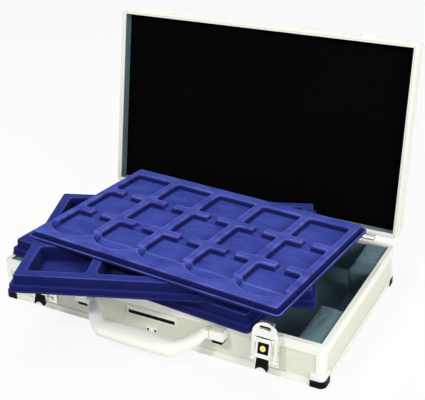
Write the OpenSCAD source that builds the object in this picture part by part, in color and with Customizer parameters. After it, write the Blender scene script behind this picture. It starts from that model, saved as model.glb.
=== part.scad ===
// Attache case, open, with three loose compartment trays fanned on top of it.
// Millimetres. The origin is the middle of the underside: x to the right, y to the back, z up.

/* [Case] */
// outside length, left to right
case_length = 382; // [372:1:400]
// outside depth, front to back
case_depth = 228; // [222:1:240]
// height of the lower shell up to the top of its metal rim
base_height = 46.5; // [44:0.5:52]
// height of the lid
lid_height = 21; // [19:0.5:26]
// radius of the upright corners
corner_radius = 5.5; // [5:0.5:8]
// how far the lid stands open, measured from shut
lid_opening = 97.8; // [95:0.1:102]
// space between the two rims when shut
rim_gap = 0.2; // [0.1:0.05:0.5]

/* [Panels and edging] */
// thickness of the wall panels
wall_thickness = 3; // [2:0.1:4]
// thickness of the bottom panel
floor_thickness = 4; // [3:0.1:5]
// thickness of the lid's top panel
lid_panel_thickness = 3; // [2:0.1:4]
// thickness of the edging outside the panels
edging_thickness = 1.3; // [1:0.1:2]
// height of the edging along the bottom and along the top of the lid
edging_height = 7; // [5:0.5:9]
// width of the edging's leg under the panel
edging_width = 10; // [7:0.5:14]
// thickness of that leg
edging_leg = 1.2; // [1:0.1:2]
// gap left round the edging's leg
edging_gap = 0.2; // [0.1:0.05:0.5]

/* [Rims] */
// width of both rims
rim_width = 5.5; // [5.2:0.1:7]
// height of the lower shell's rim on the outside
rim_height = 11; // [9:0.5:13]
// height of the lid's rim on the outside
lid_rim_height = 8; // [6:0.5:9]
// thickness of the rims' flat tops
rim_flange = 1.4; // [1.2:0.1:2]
// height of the inner lip of the lower rim
rim_lip = 4; // [3:0.5:6]
// distance of the groove from the outside
groove_start = 1.9; // [1.6:0.1:2.1]
// width of the groove
groove_width = 1.7; // [1.5:0.1:2]
// depth of the groove
groove_depth = 0.8; // [0.5:0.1:0.9]
// clearance round the lid's tongue in the groove
tongue_clearance = 0.2; // [0.1:0.05:0.3]

/* [Corners] */
// how far the corner caps and feet reach along each side
corner_reach = 14; // [13:0.5:20]
// height of the white corner caps
cap_height = 15; // [12:0.5:18]
// how far the caps stand proud of the edging
cap_proud = 0.5; // [0.4:0.1:1]
// height of the lid's corner caps
lid_cap_height = 9; // [8:0.5:9]
// height of the black feet
foot_height = 7; // [5:0.1:10]
// thickness of the black feet
foot_thickness = 1; // [0.8:0.1:2]
// how far the corner posts reach along each side
post_reach = 9; // [8:0.5:12]
// how far the corner posts bulge past the wall panels
post_bulge = 1; // [0.4:0.1:1.2]

/* [Linings] */
// thickness of the liner on the floor
floor_liner_thickness = 1.5; // [1:0.1:3]
// depth of the lid's inside down to its black lining
lid_inner_depth = 11; // [9:0.5:13]
// thickness of the slate lining inside the lid's walls
lid_lining_thickness = 0.8; // [0.5:0.1:1]
// width of the side blocks
block_width = 26.7; // [20:0.1:32]
// how far the side blocks stop below the rim
block_drop = 1.5; // [1:0.1:4]
// length of the front part of each side block
front_block_length = 68; // [50:1:76]
// length of the back part of each side block
back_block_length = 65.5; // [50:0.5:76]
// height of the floor of the finger recess above the case's underside
recess_floor = 14; // [9:0.5:24]

/* [Hinge] */
// length of the hinge
hinge_length = 330; // [280:1:340]
// number of knuckles
knuckle_count = 16; // [10:2:20]
// radius of the knuckles
knuckle_radius = 3.3; // [3:0.1:3.4]
// radius of the hinge pin
hinge_pin_radius = 1.5; // [1.2:0.05:1.7]
// distance of the pin behind the back face
hinge_back = 4.8; // [4.8:0.05:5.2]
// distance of the pin below the rim's top
hinge_below = 0.3; // [0.2:0.1:0.5]
// thickness of the leaves
leaf_thickness = 1.2; // [1:0.1:1.3]
// height of the leaf on the lower shell
leaf_height = 8; // [7:0.1:9]
// height of the leaf on the lid
lid_leaf_height = 7.5; // [7:0.1:7.8]
// gap between neighbouring knuckles
knuckle_gap = 0.4; // [0.3:0.05:0.6]
// radius of the rivet heads
rivet_radius = 1.9; // [1.5:0.1:2.2]
// number of rivets in each leaf
rivet_count = 8; // [4:1:10]

/* [Running fits] */
// radial play of every pin that turns in its hole
pin_play = 0.05; // [0.02:0.01:0.1]

/* [Handle] */
// distance from the middle to the inner side of each bracket
bracket_start = 73; // [70:0.5:78]
// width of each bracket
bracket_width = 15; // [12:0.5:18]
// how far the brackets stand out in front of the case
bracket_reach = 10; // [9:0.5:13]
// underside of the white bracket caps above the table
bracket_bottom = 27.5; // [26.5:0.5:28]
// height of the white bracket caps
bracket_height = 10.5; // [8:0.5:12]
// height of the black liners below the caps
liner_height = 4.6; // [4:0.1:6]
// distance of the handle's pins in front of the case
handle_pin_reach = 6.5; // [6:0.1:7]
// height of the handle's pins above the table
handle_pin_height = 31; // [30.5:0.1:32]
// radius of the handle's pins
handle_pin_radius = 2; // [1.5:0.1:2.4]
// how far the handle hangs below level
handle_droop = 24; // [15:1:30]
// distance of the grip's outer edge from the pins
handle_reach = 37.5; // [36:0.5:40]
// width of the grip at its middle
grip_width = 21; // [18:0.5:21.5]
// width of the grip near its ends
grip_end_width = 17; // [14:0.5:18]
// width of the handle's arms beside their bosses
arm_width = 10; // [8:0.5:11]
// thickness of the grip
grip_thickness = 13; // [11:0.5:14]
// length of the grip's outer edge
grip_length = 104; // [98:1:108]
// radius that rounds the handle's edges
grip_round = 4.5; // [3:0.5:5]

/* [Label and clip] */
// length of the label holder
label_length = 60; // [50:1:66]
// height of the label holder
label_height = 11; // [9:0.5:12]
// underside of the label holder above the table
label_bottom = 22; // [20:0.5:23]
// length of the dark insert
insert_length = 56; // [44:1:56]
// height of the dark insert
insert_height = 4.6; // [4:0.1:6]
// width of the centre clip
clip_width = 14; // [12:0.5:18]
// height of the centre clip
clip_height = 6.4; // [6:0.1:8]
// radius of the clip's knob
knob_radius = 2; // [1.5:0.1:2.2]
// radius of the clip's screws
clip_screw_radius = 1.5; // [1:0.1:1.7]

/* [Latches] */
// distance of each latch from the middle
latch_place = 132.5; // [130:0.5:140]
// width of the latch plate
latch_width = 24.8; // [24:0.2:27]
// thickness of the latch plate
latch_plate_thickness = 1.4; // [1:0.1:1.6]
// underside of the latch plate above the table
latch_bottom = 9.5; // [9:0.5:12]
// distance of the lever's pin in front of the case
lever_pin_reach = 6.5; // [6.4:0.1:7]
// distance of the lever's pin below the rim's top
lever_pin_below = 5; // [4.5:0.1:5.5]
// width of the lever
lever_width = 16; // [14:0.1:16.2]
// gap between the lever and the ears beside it
ear_gap = 0.4; // [0.3:0.05:0.5]
// thickness of the ears
ear_thickness = 1.2; // [1:0.1:1.3]
// how far the lever stands away from its plate at rest
lever_tilt = 12; // [8:1:14]
// length of the lever's upper part, which carries the bright frame
lever_upper = 17; // [16:0.5:17.5]
// thickness of the bright cheeks at the lever's sides
cheek_thickness = 1.7; // [1:0.1:2]
// length of the black finger tab
tab_length = 12.5; // [11:0.5:15]
// distance between the lever's pin and the bail's pin
bail_drop = 21; // [20.5:0.1:22]
// how far the bail's pin lies behind the lever's pin
bail_offset = 1.5; // [1:0.1:1.8]
// radius of the latch pins
latch_pin_radius = 1.4; // [1.2:0.05:1.5]
// length of the bail above its pin
bail_length = 41.3; // [40.5:0.1:43]
// half the width of the bail
bail_half = 13.6; // [13.2:0.1:14]
// thickness of the bail
bail_thickness = 1.6; // [1.2:0.1:2]
// how far the bail leans towards the case at rest
bail_lean = 4; // [3:0.5:5]
// radius of the brass key cylinder
key_radius = 3; // [2.5:0.1:3.2]
// length of the brass key cylinder
key_length = 4; // [3:0.5:4.5]

/* [Trays] */
// length of the trays
tray_length = 311; // [300:1:314]
// depth of the trays, front to back
tray_depth = 207.5; // [200:0.5:208]
// height of the two deep trays
tray_height = 17.6; // [16:0.1:19]
// height of the flat tray
flat_tray_height = 8.4; // [8:0.1:12]
// radius of the trays' corners
tray_radius = 5.5; // [4:0.5:9]
// width of the step round each tray
tray_step = 5.2; // [4:0.1:6]
// height of the skirt below the step on the deep trays
skirt_height = 7.7; // [6:0.1:9]
// thickness of the trays' material
tray_sheet = 1.6; // [1.2:0.1:2]
// width of the foot lip round the deep trays
foot_lip = 1; // [0.5:0.1:1.5]
// height of the upturned edge of the flat tray
edge_lip = 3; // [2:0.1:4]
// width of the flat tray's pockets
pocket_width = 48; // [44:0.5:50]
// depth of the flat tray's pockets, front to back
pocket_depth = 47; // [44:0.5:50]
// wall between neighbouring pockets
pocket_wall = 11; // [9:0.5:12]
// distance of the pockets' middle behind the flat tray's middle
pocket_shift = 2.5; // [0:0.5:3]
// width of the finger notches in the pocket walls
notch_width = 11; // [8:0.5:14]
// how far the front pockets bulge forward
scallop = 8; // [5:0.5:10]
// width of the deep trays' compartments
cell_width = 59; // [55:0.5:61]
// depth of the deep trays' compartments, front to back
cell_depth = 50; // [46:0.5:52]
// wall between neighbouring compartments, left to right
cell_wall_x = 13; // [11:0.5:14]
// wall between neighbouring compartments, front to back
cell_wall_y = 11.5; // [10:0.5:13]
// gap left between each tray and what it lies on
tray_gap = 0.05; // [0.02:0.01:0.2]
// middle of the lowest tray, left to right
lowest_tray_x = -29; // [-31:0.5:-28]
// middle of the lowest tray, front to back
lowest_tray_y = -9.5; // [-11:0.5:-9]
// turn of the lowest tray, clockwise from above
lowest_tray_turn = 5; // [4:0.5:6]
// middle of the second tray, left to right
second_tray_x = -13.4; // [-16:0.1:-8]
// middle of the second tray, front to back
second_tray_y = -38.6; // [-42:0.1:-36]
// turn of the second tray, anticlockwise from above
second_tray_turn = 20.8; // [16:0.1:22]
// middle of the flat tray, left to right
flat_tray_x = 7.6; // [2:0.1:12]
// middle of the flat tray, front to back
flat_tray_y = -22.3; // [-28:0.1:-20]
// turn of the flat tray, clockwise from above
flat_tray_turn = 5; // [3:0.5:8]

/* [Show] */
// which piece to draw

/* [Hidden] */
$fn = 48;
sweep = 24;
cut = 1;
half_length = case_length / 2;
half_depth = case_depth / 2;
wall_inset = edging_thickness + wall_thickness;
least_radius = 0.4;
tray_least_radius = 2.6;
post_leg = post_reach - corner_radius;
lid_bottom = base_height + rim_gap;
lid_top = lid_bottom + lid_height;
lid_floor = lid_top - lid_panel_thickness;
lid_lining_level = lid_bottom + lid_inner_depth;
block_bottom = floor_thickness + floor_liner_thickness;
hinge_y = half_depth + hinge_back;
hinge_z = base_height - hinge_below;
knuckle_pitch = hinge_length / knuckle_count;
knuckle_clear = 0.4;
leaf_top = hinge_z - knuckle_clear;
lid_leaf_bottom = hinge_z + 1.5 * knuckle_clear;
knuckle_web = 2.2;
rivet_head = 0.9;
rivet_pitch = hinge_length / rivet_count;
bracket_end = bracket_start + bracket_width;
bracket_groove = 0.9;
bracket_groove_depth = 0.7;
liner_inset = 2;
panel_front = -half_depth + edging_thickness;
handle_pin_y = -half_depth - handle_pin_reach;
handle_gap = 0.6;
handle_pin_depth = 10;
boss_radius = 5.5;
boss_length = 9.5;
label_front = 1.2;
label_bed = 0.5;
clip_bottom = edging_height;
lever_pin_y = -half_depth - lever_pin_reach;
lever_pin_z = base_height - lever_pin_below;
barrel_radius = 3.2;
ear_radius = 4;
ear_step = 1.5;
frame_thickness = 1.2;
frame_edge = 1.1;
frame_bar = 4;
frame_top = 3;
lever_back = 3.8;
tab_bend = 7;
tab_lean = 1.4;
tab_thickness = 3.4;
tab_notch_radius = 7;
tab_notch_depth = 3;
key_z = -6.8;
key_proud = 2;
key_slit = 1;
bail_inner = 10;
pin_end = 0.3;
pin_end_clear = 0.2;
pin_head = 0.9;
eye_radius = 2.6;
eye_end = 12.4;
bail_bridge = 2.4;
hook_below_top = 3.6;
hook_half = 7.6;
hook_thickness = 1.6;
hook_reach = 6.2;
hook_lip = 1.2;
hook_lip_drop = 1.4;
slot_half = 6.2;
slot_radius = 2.2;
slot_below_hook = 2.5;
catch_half = 8;
catch_thickness = 1.2;
catch_reach = 2.2;
scallop_radius = (pow(pocket_width / 2 - 2, 2) + scallop * scallop) / (2 * scallop);
ivory = [0.93, 0.91, 0.85];
bright = [0.97, 0.96, 0.92];
metal = [0.8, 0.8, 0.8];
slate = [0.35, 0.43, 0.46];
black = [0.08, 0.08, 0.08];
blue = [0.25, 0.29, 0.66];
brass = [0.8, 0.65, 0.25];

// shared outlines

module rounded_sheet(length, depth, radius) {
    square([length - 2 * radius, depth], center = true);
    square([length, depth - 2 * radius], center = true);
    for (side = [-1, 1], end = [-1, 1])
        translate([side * (length / 2 - radius), end * (depth / 2 - radius)])
            circle(r = radius);
}

module shell_sheet(inset)
    rounded_sheet(case_length - 2 * inset, case_depth - 2 * inset,
                  max(corner_radius - inset, least_radius));

module shell_band(outer_inset, inner_inset) {
    difference() {
        shell_sheet(outer_inset);
        shell_sheet(inner_inset);
    }
}

module slab(bottom, top) {
    translate([0, 0, bottom])
        linear_extrude(top - bottom)
            children();
}

module rod(radius, from, to) {
    translate([from, 0, 0])
        rotate([0, 90, 0])
            cylinder(r = radius, h = to - from);
}

// pieces that both shells share

module side_wall(length, distance, turn, bottom, top) {
    rotate(turn)
        translate([-length / 2, edging_thickness - distance, bottom])
            cube([length, wall_thickness, top - bottom]);
}

module edging_strip(length, distance, turn) {
    rotate(turn)
        translate([-length / 2, -distance, 0]) {
            cube([length, edging_thickness, edging_height]);
            cube([length, edging_width, edging_leg]);
        }
}

module panel(thickness) {
    difference() {
        slab(0, thickness)
            shell_sheet(edging_thickness);
        difference() {
            slab(-cut, edging_leg)
                shell_sheet(-cut);
            slab(-2 * cut, edging_leg + cut) {
                square([case_length - 2 * (edging_width + edging_gap),
                        case_depth - 2 * (corner_reach + edging_gap)], center = true);
                square([case_length - 2 * (corner_reach + edging_gap),
                        case_depth - 2 * (edging_width + edging_gap)], center = true);
            }
        }
    }
}

function corner_turn(side, end) = side > 0 ? (end > 0 ? 0 : 270) : (end > 0 ? 90 : 180);

module at_corners() {
    for (side = [-1, 1], end = [-1, 1])
        translate([side * (half_length - corner_radius), end * (half_depth - corner_radius), 0])
            rotate(corner_turn(side, end))
                children();
}

module corner_band(inner, outer, leg, bottom, top) {
    translate([0, 0, bottom]) {
        rotate_extrude(angle = 90)
            translate([inner, 0])
                square([outer - inner, top - bottom]);
        translate([-leg, inner, 0])
            cube([leg, outer - inner, top - bottom]);
        translate([inner, -leg, 0])
            cube([outer - inner, leg, top - bottom]);
    }
}

module corner_plate(outer, leg, bottom, top) {
    translate([0, 0, bottom]) {
        rotate_extrude(angle = 90)
            square([outer, top - bottom]);
        translate([-leg, -leg, 0])
            cube([leg, outer + leg, top - bottom]);
        translate([-leg, -leg, 0])
            cube([outer + leg, leg, top - bottom]);
    }
}

module corner_post(bottom, top, bulge_bottom, bulge_top) {
    corner_band(corner_radius - wall_inset, corner_radius - edging_thickness, post_leg,
                bottom, top);
    corner_band(corner_radius - edging_thickness - cut / 2,
                corner_radius - edging_thickness + post_bulge, post_leg,
                bulge_bottom, bulge_top);
}

// lower shell

module bottom_panel()
    color(ivory) panel(floor_thickness);

base_wall_top = base_height - rim_flange;

module base_wall(length, distance, turn)
    color(ivory) side_wall(length, distance, turn, floor_thickness, base_wall_top);

module base_wall_front() base_wall(case_length - 2 * post_reach, half_depth, 0);
module base_wall_back() base_wall(case_length - 2 * post_reach, half_depth, 180);
module base_wall_left() base_wall(case_depth - 2 * post_reach, half_length, 270);
module base_wall_right() base_wall(case_depth - 2 * post_reach, half_length, 90);

module base_corner_posts()
    color(bright) at_corners()
        corner_post(floor_thickness, base_wall_top, cap_height, base_height - rim_height);

module base_rim() {
    color(bright) difference() {
        union() {
            slab(base_height - rim_height, base_height)
                shell_band(0, edging_thickness);
            slab(base_height - rim_flange, base_height)
                shell_band(0, rim_width);
            slab(base_height - rim_lip, base_height)
                shell_band(wall_inset, rim_width);
        }
        slab(base_height - groove_depth, base_height + cut)
            shell_band(groove_start, groove_start + groove_width);
    }
}

module base_edging(length, distance, turn)
    color(bright) edging_strip(length, distance, turn);

module base_edging_front() base_edging(case_length - 2 * corner_reach, half_depth, 0);
module base_edging_back() base_edging(case_length - 2 * corner_reach, half_depth, 180);
module base_edging_left() base_edging(case_depth - 2 * corner_reach, half_length, 270);
module base_edging_right() base_edging(case_depth - 2 * corner_reach, half_length, 90);

corner_leg = corner_reach - corner_radius;

module corner_caps()
    color(bright) at_corners()
        corner_band(corner_radius - edging_thickness, corner_radius + cap_proud, corner_leg,
                    edging_leg, cap_height);

foot_outer = corner_radius + cap_proud + foot_thickness;

module corner_feet() {
    color(black) at_corners() {
        corner_band(corner_radius + cap_proud, foot_outer, corner_leg, 0, foot_height);
        corner_plate(foot_outer, corner_leg, 0, edging_leg);
    }
}

module floor_liner()
    color(slate) slab(floor_thickness, block_bottom) shell_sheet(wall_inset);

module base_lining()
    color(slate) slab(block_bottom, base_height - rim_lip) shell_band(wall_inset, rim_width);

module side_block(side) {
    block_start = half_length - rim_width - block_width;
    color(slate) intersection() {
        slab(block_bottom, base_height - block_drop)
            shell_sheet(rim_width);
        union() {
            translate([side > 0 ? block_start : -half_length, -half_depth, 0]) {
                cube([half_length - block_start, case_depth, recess_floor]);
                cube([half_length - block_start, rim_width + front_block_length, base_height]);
            }
            translate([side > 0 ? block_start : -half_length,
                       half_depth - rim_width - back_block_length, 0])
                cube([half_length - block_start, rim_width + back_block_length, base_height]);
        }
    }
}

module side_block_left() side_block(-1);
module side_block_right() side_block(1);

// lid, drawn shut and then turned open about the hinge pin

module on_lid() {
    translate([0, hinge_y, hinge_z])
        rotate([-lid_opening, 0, 0])
            translate([0, -hinge_y, -hinge_z])
                children();
}

module lid_panel()
    color(ivory) on_lid() translate([0, 0, lid_top]) mirror([0, 0, 1]) panel(lid_panel_thickness);

module lid_wall(length, distance, turn)
    color(ivory) on_lid()
        side_wall(length, distance, turn, lid_bottom + rim_flange, lid_floor);

module lid_wall_front() lid_wall(case_length - 2 * post_reach, half_depth, 0);
module lid_wall_back() lid_wall(case_length - 2 * post_reach, half_depth, 180);
module lid_wall_left() lid_wall(case_depth - 2 * post_reach, half_length, 270);
module lid_wall_right() lid_wall(case_depth - 2 * post_reach, half_length, 90);

module lid_corner_posts()
    color(bright) on_lid() at_corners()
        corner_post(lid_bottom + rim_flange, lid_floor, lid_bottom + lid_rim_height,
                    lid_top - lid_cap_height);

module lid_rim() {
    tongue_start = groove_start + tongue_clearance;
    tongue_end = groove_start + groove_width - tongue_clearance;
    color(bright) on_lid() {
        slab(lid_bottom, lid_bottom + lid_rim_height)
            shell_band(0, edging_thickness);
        slab(lid_bottom, lid_bottom + rim_flange)
            shell_band(0, rim_width);
        slab(base_height - groove_depth + tongue_clearance, lid_bottom + rim_flange / 2)
            shell_band(tongue_start, tongue_end);
    }
}

module lid_edging() {
    color(bright) on_lid() translate([0, 0, lid_top]) mirror([0, 0, 1]) {
        for (turn = [0, 180])
            edging_strip(case_length - 2 * corner_reach, half_depth, turn);
        for (turn = [90, 270])
            edging_strip(case_depth - 2 * corner_reach, half_length, turn);
    }
}

module lid_corner_caps() {
    color(bright) on_lid() at_corners() {
        corner_band(corner_radius - edging_thickness, corner_radius + cap_proud, corner_leg,
                    lid_top - lid_cap_height, lid_top);
        corner_plate(corner_radius + cap_proud, corner_leg, lid_top - edging_leg, lid_top);
    }
}

module lid_side_lining()
    color(slate) on_lid() slab(lid_bottom + rim_flange, lid_lining_level)
        shell_band(wall_inset, wall_inset + lid_lining_thickness);

module lid_lining_pad()
    color(black) on_lid() slab(lid_lining_level, lid_floor) shell_sheet(wall_inset);

// where the bail's hook sits when the latch is shut
bail_hook = bail_length - hook_below_top;
catch_top = lever_pin_z - bail_drop + bail_hook - pin_end_clear;

module lid_catch(side) {
    color(metal) on_lid() translate([side * latch_place - catch_half, -half_depth, 0]) {
        translate([0, -catch_thickness, lid_bottom + 2])
            cube([2 * catch_half, catch_thickness, catch_top - lid_bottom - 2]);
        translate([0, -catch_reach, catch_top - catch_reach])
            cube([2 * catch_half, catch_reach, catch_reach]);
        translate([0, -catch_thickness / 2, lid_bottom + lid_rim_height])
            cube([2 * catch_half, edging_thickness + catch_thickness / 2,
                  catch_top - lid_bottom - lid_rim_height]);
    }
}

module lid_catch_left() lid_catch(-1);
module lid_catch_right() lid_catch(1);

// hinge

module knuckles(first, radius) {
    for (index = [first:2:knuckle_count - 1])
        translate([-hinge_length / 2 + index * knuckle_pitch + knuckle_gap / 2, hinge_y, hinge_z])
            rod(radius, 0, knuckle_pitch - knuckle_gap);
}

module knuckle_webs(first, bottom) {
    for (index = [first:2:knuckle_count - 1])
        translate([-hinge_length / 2 + index * knuckle_pitch + knuckle_gap / 2,
                   half_depth + leaf_thickness / 2, bottom])
            cube([knuckle_pitch - knuckle_gap, hinge_back - leaf_thickness / 2, knuckle_web]);
}

module rivet_row(height) {
    for (index = [0:rivet_count - 1])
        translate([-hinge_length / 2 + (index + 0.5) * rivet_pitch, half_depth, height])
            rotate([-90, 0, 0])
                children();
}

base_rivet_z = leaf_top - leaf_height / 2;
lid_rivet_z = lid_leaf_bottom + lid_leaf_height / 2;

module hinge_leaf_base() {
    color(metal) difference() {
        union() {
            translate([-hinge_length / 2, half_depth, leaf_top - leaf_height])
                cube([hinge_length, leaf_thickness, leaf_height]);
            knuckle_webs(0, leaf_top - knuckle_web);
            knuckles(0, knuckle_radius);
        }
        translate([0, hinge_y, hinge_z])
            rod(hinge_pin_radius, -hinge_length, hinge_length);
        rivet_row(base_rivet_z)
            translate([0, 0, -cut]) cylinder(r = rivet_radius / 2, h = leaf_thickness + 2 * cut);
    }
}

module hinge_leaf_lid() {
    color(metal) on_lid() difference() {
        union() {
            translate([-hinge_length / 2, half_depth, lid_leaf_bottom])
                cube([hinge_length, leaf_thickness, lid_leaf_height]);
            knuckle_webs(1, lid_leaf_bottom);
            knuckles(1, knuckle_radius);
        }
        translate([0, hinge_y, hinge_z])
            rod(hinge_pin_radius + pin_play, -hinge_length, hinge_length);
        rivet_row(lid_rivet_z)
            translate([0, 0, -cut]) cylinder(r = rivet_radius / 2, h = leaf_thickness + 2 * cut);
    }
}

module hinge_pin()
    color(metal) translate([0, hinge_y, hinge_z])
        rod(hinge_pin_radius, knuckle_gap / 2 - hinge_length / 2, hinge_length / 2 - knuckle_gap / 2);

module rivets(height) {
    rivet_row(height) {
        cylinder(r = rivet_radius / 2, h = leaf_thickness + rivet_head / 2);
        translate([0, 0, leaf_thickness])
            cylinder(r = rivet_radius, h = rivet_head);
    }
}

module hinge_rivets_base() color(metal) rivets(base_rivet_z);
module hinge_rivets_lid() color(metal) on_lid() rivets(lid_rivet_z);

// front fittings

insert_bottom = label_bottom + 1.8;

module label_holder() {
    color(bright) difference() {
        translate([-label_length / 2, panel_front - label_front, label_bottom])
            cube([label_length, label_front, label_height]);
        translate([-insert_length / 2, panel_front - label_front - cut, insert_bottom])
            cube([insert_length, label_front + 2 * cut, insert_height]);
    }
}

module label_insert()
    color(black) translate([-insert_length / 2, panel_front - label_bed, insert_bottom])
        cube([insert_length, label_bed, insert_height]);

clip_screw_place = clip_width / 2 - clip_screw_radius - 1;

module centre_clip() {
    color(metal) difference() {
        union() {
            translate([-clip_width / 2, -half_depth, clip_bottom])
                cube([clip_width, edging_thickness, clip_height]);
            translate([0, -half_depth + edging_thickness / 2, clip_bottom + clip_height / 2])
                rotate([90, 0, 0]) cylinder(r = knob_radius, h = knob_radius);
        }
        for (side = [-1, 1])
            translate([side * clip_screw_place, -half_depth - cut, clip_bottom + clip_height / 2])
                rotate([-90, 0, 0]) cylinder(r = clip_screw_radius, h = edging_thickness + 2 * cut);
    }
}

module clip_screws()
    color(black) for (side = [-1, 1])
        translate([side * clip_screw_place, panel_front, clip_bottom + clip_height / 2])
            rotate([90, 0, 0]) cylinder(r = clip_screw_radius, h = edging_thickness * 0.6);

module handle_bracket(side) {
    bracket_top = bracket_bottom + bracket_height;
    color(bright) difference() {
        union() {
            translate([side > 0 ? bracket_start : -bracket_end, -half_depth - bracket_reach,
                       bracket_bottom])
                cube([bracket_width, bracket_reach, bracket_height]);
            translate([side > 0 ? bracket_start : -bracket_end, -half_depth - cut,
                       bracket_bottom])
                cube([bracket_width, edging_thickness + cut,
                      base_height - rim_height - bracket_bottom]);
        }
        translate([side > 0 ? bracket_start - cut : -bracket_end - cut,
                   -half_depth - bracket_reach + 1.5 * bracket_groove,
                   bracket_top - bracket_groove_depth])
            cube([bracket_width + 2 * cut, bracket_groove, bracket_groove_depth + cut]);
        translate([0, handle_pin_y, handle_pin_height])
            rod(handle_pin_radius + pin_play,
                side > 0 ? bracket_start - cut : -bracket_start - handle_pin_depth - 1,
                side > 0 ? bracket_start + handle_pin_depth + 1 : -bracket_start + cut);
    }
}

module handle_bracket_left() handle_bracket(-1);
module handle_bracket_right() handle_bracket(1);

module bracket_liners()
    color(black) for (side = [-1, 1])
        translate([(side > 0 ? bracket_start : -bracket_end) + liner_inset,
                   -half_depth - bracket_reach + liner_inset, bracket_bottom - liner_height])
            cube([bracket_width - 2 * liner_inset,
                  bracket_reach - liner_inset + edging_thickness, liner_height]);

// handle, drawn level and then dropped about its pins

module on_handle() {
    translate([0, handle_pin_y, handle_pin_height])
        rotate([handle_droop, 0, 0])
            children();
}

// stations along one half of the handle, from its middle to its boss:
// place across, place outwards, half the width there and half the thickness
grip_half = grip_length / 2;
grip_line = -handle_reach + grip_width / 2;
end_line = 1 - handle_reach + grip_end_width / 2;
arm_end_x = bracket_start - handle_gap - arm_width / 2 - 1;
arm_x = arm_end_x - grip_half + grip_end_width / 2;
handle_line = [
    [0, grip_line, grip_width / 2, grip_thickness / 2],
    [0.42 * grip_half, grip_line - 0.2, (0.7 * grip_width + 0.3 * grip_end_width) / 2,
     grip_thickness / 2],
    [0.76 * grip_half, end_line, grip_end_width / 2, 0.49 * grip_thickness],
    [grip_half - grip_end_width / 2 + 1, 0.92 * end_line, 0.46 * grip_end_width,
     0.47 * grip_thickness],
    [grip_half - grip_end_width / 2 + 0.4 * arm_x, 0.68 * end_line, 0.4 * grip_end_width,
     0.43 * grip_thickness],
    [grip_half - grip_end_width / 2 + 0.76 * arm_x, 0.32 * end_line,
     (arm_width + grip_end_width) / 4, 0.4 * grip_thickness],
    [arm_end_x, 0, arm_width / 2, 0.39 * grip_thickness]
];

module handle_station(point, side) {
    for (edge = [-1, 1])
        translate([side * point[0], point[1], edge * (point[3] - grip_round)])
            scale([point[2], point[2], grip_round])
                sphere(r = 1, $fn = sweep);
}

module handle_grip() {
    color(bright) on_handle() difference() {
        union() {
            for (side = [-1, 1], index = [1:len(handle_line) - 1])
                hull() {
                    handle_station(handle_line[index - 1], side);
                    handle_station(handle_line[index], side);
                }
            for (side = [-1, 1])
                rod(boss_radius,
                    side > 0 ? bracket_start - handle_gap - boss_length : -bracket_start + handle_gap,
                    side > 0 ? bracket_start - handle_gap : -bracket_start + handle_gap + boss_length);
        }
        for (side = [-1, 1])
            rod(handle_pin_radius,
                side > 0 ? bracket_start - boss_length : -bracket_start - cut,
                side > 0 ? bracket_start + cut : -bracket_start + boss_length);
    }
}

module handle_pins()
    color(metal) on_handle() for (side = [-1, 1])
        rod(handle_pin_radius,
            side > 0 ? bracket_start - boss_length : -bracket_start - handle_pin_depth,
            side > 0 ? bracket_start + handle_pin_depth : -bracket_start + boss_length);

// latches: the lever is drawn hanging straight and then tilted out about its pin

module at_latch(side)
    translate([side * latch_place, 0, 0]) children();

module on_lever(side) {
    at_latch(side)
        translate([0, lever_pin_y, lever_pin_z])
            rotate([-lever_tilt, 0, 0])
                children();
}

ear_start = lever_width / 2 + ear_gap;

module latch_plate(side) {
    plate_top = lever_pin_z + ear_radius;
    color(metal) at_latch(side) difference() {
        union() {
            translate([-latch_width / 2, -half_depth - latch_plate_thickness, latch_bottom])
                cube([latch_width, latch_plate_thickness, plate_top - latch_bottom]);
            translate([-lever_width / 2, -half_depth - latch_plate_thickness / 2, latch_bottom + 1])
                cube([lever_width, edging_thickness + latch_plate_thickness / 2,
                      base_height - rim_height - latch_bottom - 1]);
            for (edge = [-1, 1]) {
                translate([edge > 0 ? ear_start : -ear_start - ear_thickness,
                           lever_pin_y, lever_pin_z - ear_radius])
                    cube([ear_thickness, lever_pin_reach - latch_plate_thickness / 2,
                          ear_radius + ear_step]);
                translate([0, lever_pin_y, lever_pin_z])
                    rod(ear_radius, edge > 0 ? ear_start : -ear_start - ear_thickness,
                        edge > 0 ? ear_start + ear_thickness : -ear_start);
            }
        }
        translate([0, lever_pin_y, lever_pin_z])
            rod(latch_pin_radius + pin_play, -latch_width, latch_width);
    }
}

module lever_plate(from, to, outline)
    translate([from, 0, 0])
        rotate([90, 0, 90])
            linear_extrude(to - from)
                polygon(outline);

module lever_holes() {
    rod(latch_pin_radius, -lever_width, lever_width);
    translate([0, bail_offset, -bail_drop])
        rod(latch_pin_radius, -lever_width, lever_width);
}

core_half = lever_width / 2 - cheek_thickness;
lever_front = -barrel_radius;
lever_tip = -lever_upper - tab_length;
lever_knee = -bail_drop - latch_pin_radius - 2;

module lever(side) {
    color(black) on_lever(side) difference() {
        union() {
            rod(barrel_radius, -core_half, core_half);
            lever_plate(-core_half, core_half, [
                [lever_front, 0], [lever_front, -lever_upper],
                [lever_front - 0.7 * tab_lean, -lever_upper - tab_bend],
                [lever_front - tab_lean, lever_tip],
                [lever_front - tab_lean + tab_thickness, lever_tip],
                [lever_front + tab_thickness, lever_tip + tab_notch_depth],
                [lever_back, lever_knee], [lever_back, -barrel_radius - 4], [barrel_radius, 0]]);
        }
        translate([0, lever_back + cut, lever_tip + tab_notch_depth - tab_notch_radius])
            rotate([90, 0, 0]) cylinder(r = tab_notch_radius, h = 3 * lever_back);
        lever_holes();
        translate([0, lever_front + key_length - key_proud, key_z])
            rotate([90, 0, 0]) cylinder(r = key_radius + pin_play, h = key_length + cut);
    }
}

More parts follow.
